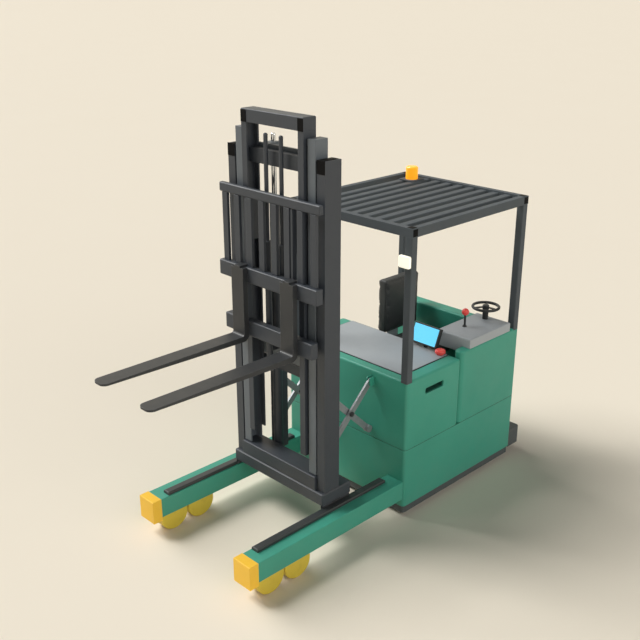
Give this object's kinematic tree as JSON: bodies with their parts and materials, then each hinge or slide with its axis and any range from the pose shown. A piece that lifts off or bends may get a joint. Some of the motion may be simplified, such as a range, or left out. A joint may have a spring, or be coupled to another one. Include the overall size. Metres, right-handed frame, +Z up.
{
  "type": "reach truck",
  "caption": "Electric reach truck with a telescopic mast that slides on straddle legs, scissor arms, forks, side-facing seat, control desk and slatted overhead guard.",
  "frame": {"origin": "on the floor under the middle of the truck's whole outline", "axes": "+X to the truck's right, +Y to its rear, +Z up; the forks point to -Y"},
  "size_m": [1.21, 3.4, 2.945],
  "materials": {
    "body_green": "satin",
    "cover_green": "satin",
    "mast_grey": "satin",
    "stage_grey": "satin",
    "lid_grey": "matte",
    "console_grey": "matte",
    "black_plastic": "matte",
    "black_rubber": "matte",
    "drive_tyre": "matte",
    "signal_yellow": "satin",
    "bogie_yellow": "satin",
    "wheel_yellow": "satin",
    "signal_red": "gloss",
    "screen_blue": "gloss",
    "lamp_white": "gloss",
    "beacon_amber": "gloss",
    "seat_vinyl": "matte",
    "arm_steel": "satin",
    "pin_steel": "satin",
    "rod_chrome": "gloss",
    "fork_steel": "satin",
    "drive_iron": "matte",
    "battery_case": "matte"
  },
  "bodies": {
    "chassis": {"chassis_tub": "body_green", "skirt": "black_rubber", "battery_hood": "body_green", "hood_plate": "lid_grey", "battery": "battery_case", "cab_side_wall": "cover_green", "cab_rear_wall": "cover_green", "floor_mat": "black_rubber", "console": "console_grey", "steering_column": "black_plastic", "joystick_lever": "black_plastic", "red_knobs": "signal_red", "display_housing": "black_plastic", "display_glass": "screen_blue", "seat_pedestal": "console_grey", "seat_cushion": "seat_vinyl", "seat_backrest": "seat_vinyl", "guard_posts": "mast_grey", "guard_corner_blocks": "black_plastic", "guard_roof": "mast_grey", "lamp_lenses": "lamp_white", "beacon_lens": "beacon_amber", "rear_bumper": "black_rubber", "straddle_legs": "body_green", "leg_caps": "signal_yellow", "bogies": "bogie_yellow", "mast_rails": "mast_grey", "arm_brackets": "body_green"},
    "reach_mast": {"mast_base": "mast_grey", "outer_mast_channels": "mast_grey", "outer_mast_ties": "mast_grey", "outer_mast_caps": "black_plastic", "main_lift_barrels": "mast_grey", "arm_guides": "mast_grey"},
    "middle_stage": {"mid_mast_channels": "stage_grey", "mid_mast_ties": "stage_grey", "main_lift_rods": "rod_chrome"},
    "inner_stage": {"inner_mast_channels": "mast_grey", "inner_mast_bars": "mast_grey", "inner_mast_caps": "black_plastic", "free_lift_barrels": "mast_grey"},
    "fork_carriage": {"carriage_bars": "mast_grey", "carriage_plates": "mast_grey", "load_backrest": "mast_grey", "forks": "fork_steel"},
    "lift_rods": {"free_lift_rods": "mast_grey"},
    "hung_scissor": {"hung_arms": "arm_steel", "arm_pins": "pin_steel"},
    "crossed_scissor": {"crossed_arms": "arm_steel"},
    "drive_unit": {"drive_turntable": "drive_iron", "drive_motor": "drive_iron"},
    "drive_wheel": {"drive_tyre": "drive_tyre", "drive_hub": "drive_iron"},
    "steering": {"steering_wheel": "black_plastic"},
    "wheel_right_front": {"load_wheel_right_front": "wheel_yellow"},
    "wheel_right_rear": {"load_wheel_right_rear": "wheel_yellow"},
    "wheel_left_front": {"load_wheel_left_front": "wheel_yellow"},
    "wheel_left_rear": {"load_wheel_left_rear": "wheel_yellow"}
  },
  "joints": [
    {"name": "reach_slide", "type": "slide", "parent": "chassis", "child": "reach_mast", "axis": [0, -1, 0], "range_m": [-0.25, 0.125]},
    {"name": "mid_lift", "type": "slide", "parent": "reach_mast", "child": "middle_stage", "axis": [0, 0, 1], "range_m": [0, 1.8]},
    {"name": "inner_lift", "type": "slide", "parent": "middle_stage", "child": "inner_stage", "axis": [0, 0, 1], "range_m": [0, 1.8]},
    {"name": "carriage_lift", "type": "slide", "parent": "inner_stage", "child": "fork_carriage", "axis": [0, 0, 1], "range_m": [-1.37, 0.08]},
    {"name": "rod_lift", "type": "slide", "parent": "inner_stage", "child": "lift_rods", "axis": [0, 0, 1], "range_m": [-0.685, 0.04]},
    {"name": "hung_arm_hinge", "type": "hinge", "parent": "chassis", "child": "hung_scissor", "pos_m": [0.278, 0.182, 1.005], "axis": [1, 0, 0], "range_deg": [-16.89, 33.76]},
    {"name": "crossed_arm_hinge", "type": "hinge", "parent": "hung_scissor", "child": "crossed_scissor", "pos_m": [0.254, -0.017, 0.81283], "axis": [1, 0, 0], "range_deg": [-67.51, 33.76]},
    {"name": "steer", "type": "hinge", "parent": "chassis", "child": "drive_unit", "pos_m": [0, 1.22, 0.384], "axis": [0, 0, 1], "range_deg": [-90, 90]},
    {"name": "drive_spin", "type": "hinge", "parent": "drive_unit", "child": "drive_wheel", "pos_m": [0, 1.22, 0.165], "axis": [1, 0, 0], "continuous": true},
    {"name": "steering_turn", "type": "hinge", "parent": "chassis", "child": "steering", "pos_m": [0.415, 1.36, 1.287], "axis": [0, 0, 1], "range_deg": [-450, 450]},
    {"name": "load_spin_right_front", "type": "hinge", "parent": "chassis", "child": "wheel_right_front", "pos_m": [0.518, -1.058, 0.114], "axis": [1, 0, 0], "continuous": true},
    {"name": "load_spin_right_rear", "type": "hinge", "parent": "chassis", "child": "wheel_right_rear", "pos_m": [0.518, -0.823, 0.114], "axis": [1, 0, 0], "continuous": true},
    {"name": "load_spin_left_front", "type": "hinge", "parent": "chassis", "child": "wheel_left_front", "pos_m": [-0.518, -1.058, 0.114], "axis": [1, 0, 0], "continuous": true},
    {"name": "load_spin_left_rear", "type": "hinge", "parent": "chassis", "child": "wheel_left_rear", "pos_m": [-0.518, -0.823, 0.114], "axis": [1, 0, 0], "continuous": true}
  ],
  "couplings": [
    {"joint": "inner_lift", "follows": "mid_lift", "ratio": 1},
    {"joint": "rod_lift", "follows": "carriage_lift", "ratio": 0.5},
    {"joint": "hung_arm_hinge", "follows": "reach_slide", "rad_per_m": -2.3562},
    {"joint": "crossed_arm_hinge", "follows": "reach_slide", "rad_per_m": 4.7124},
    {"joint": "steering_turn", "follows": "steer", "ratio": 5}
  ]
}
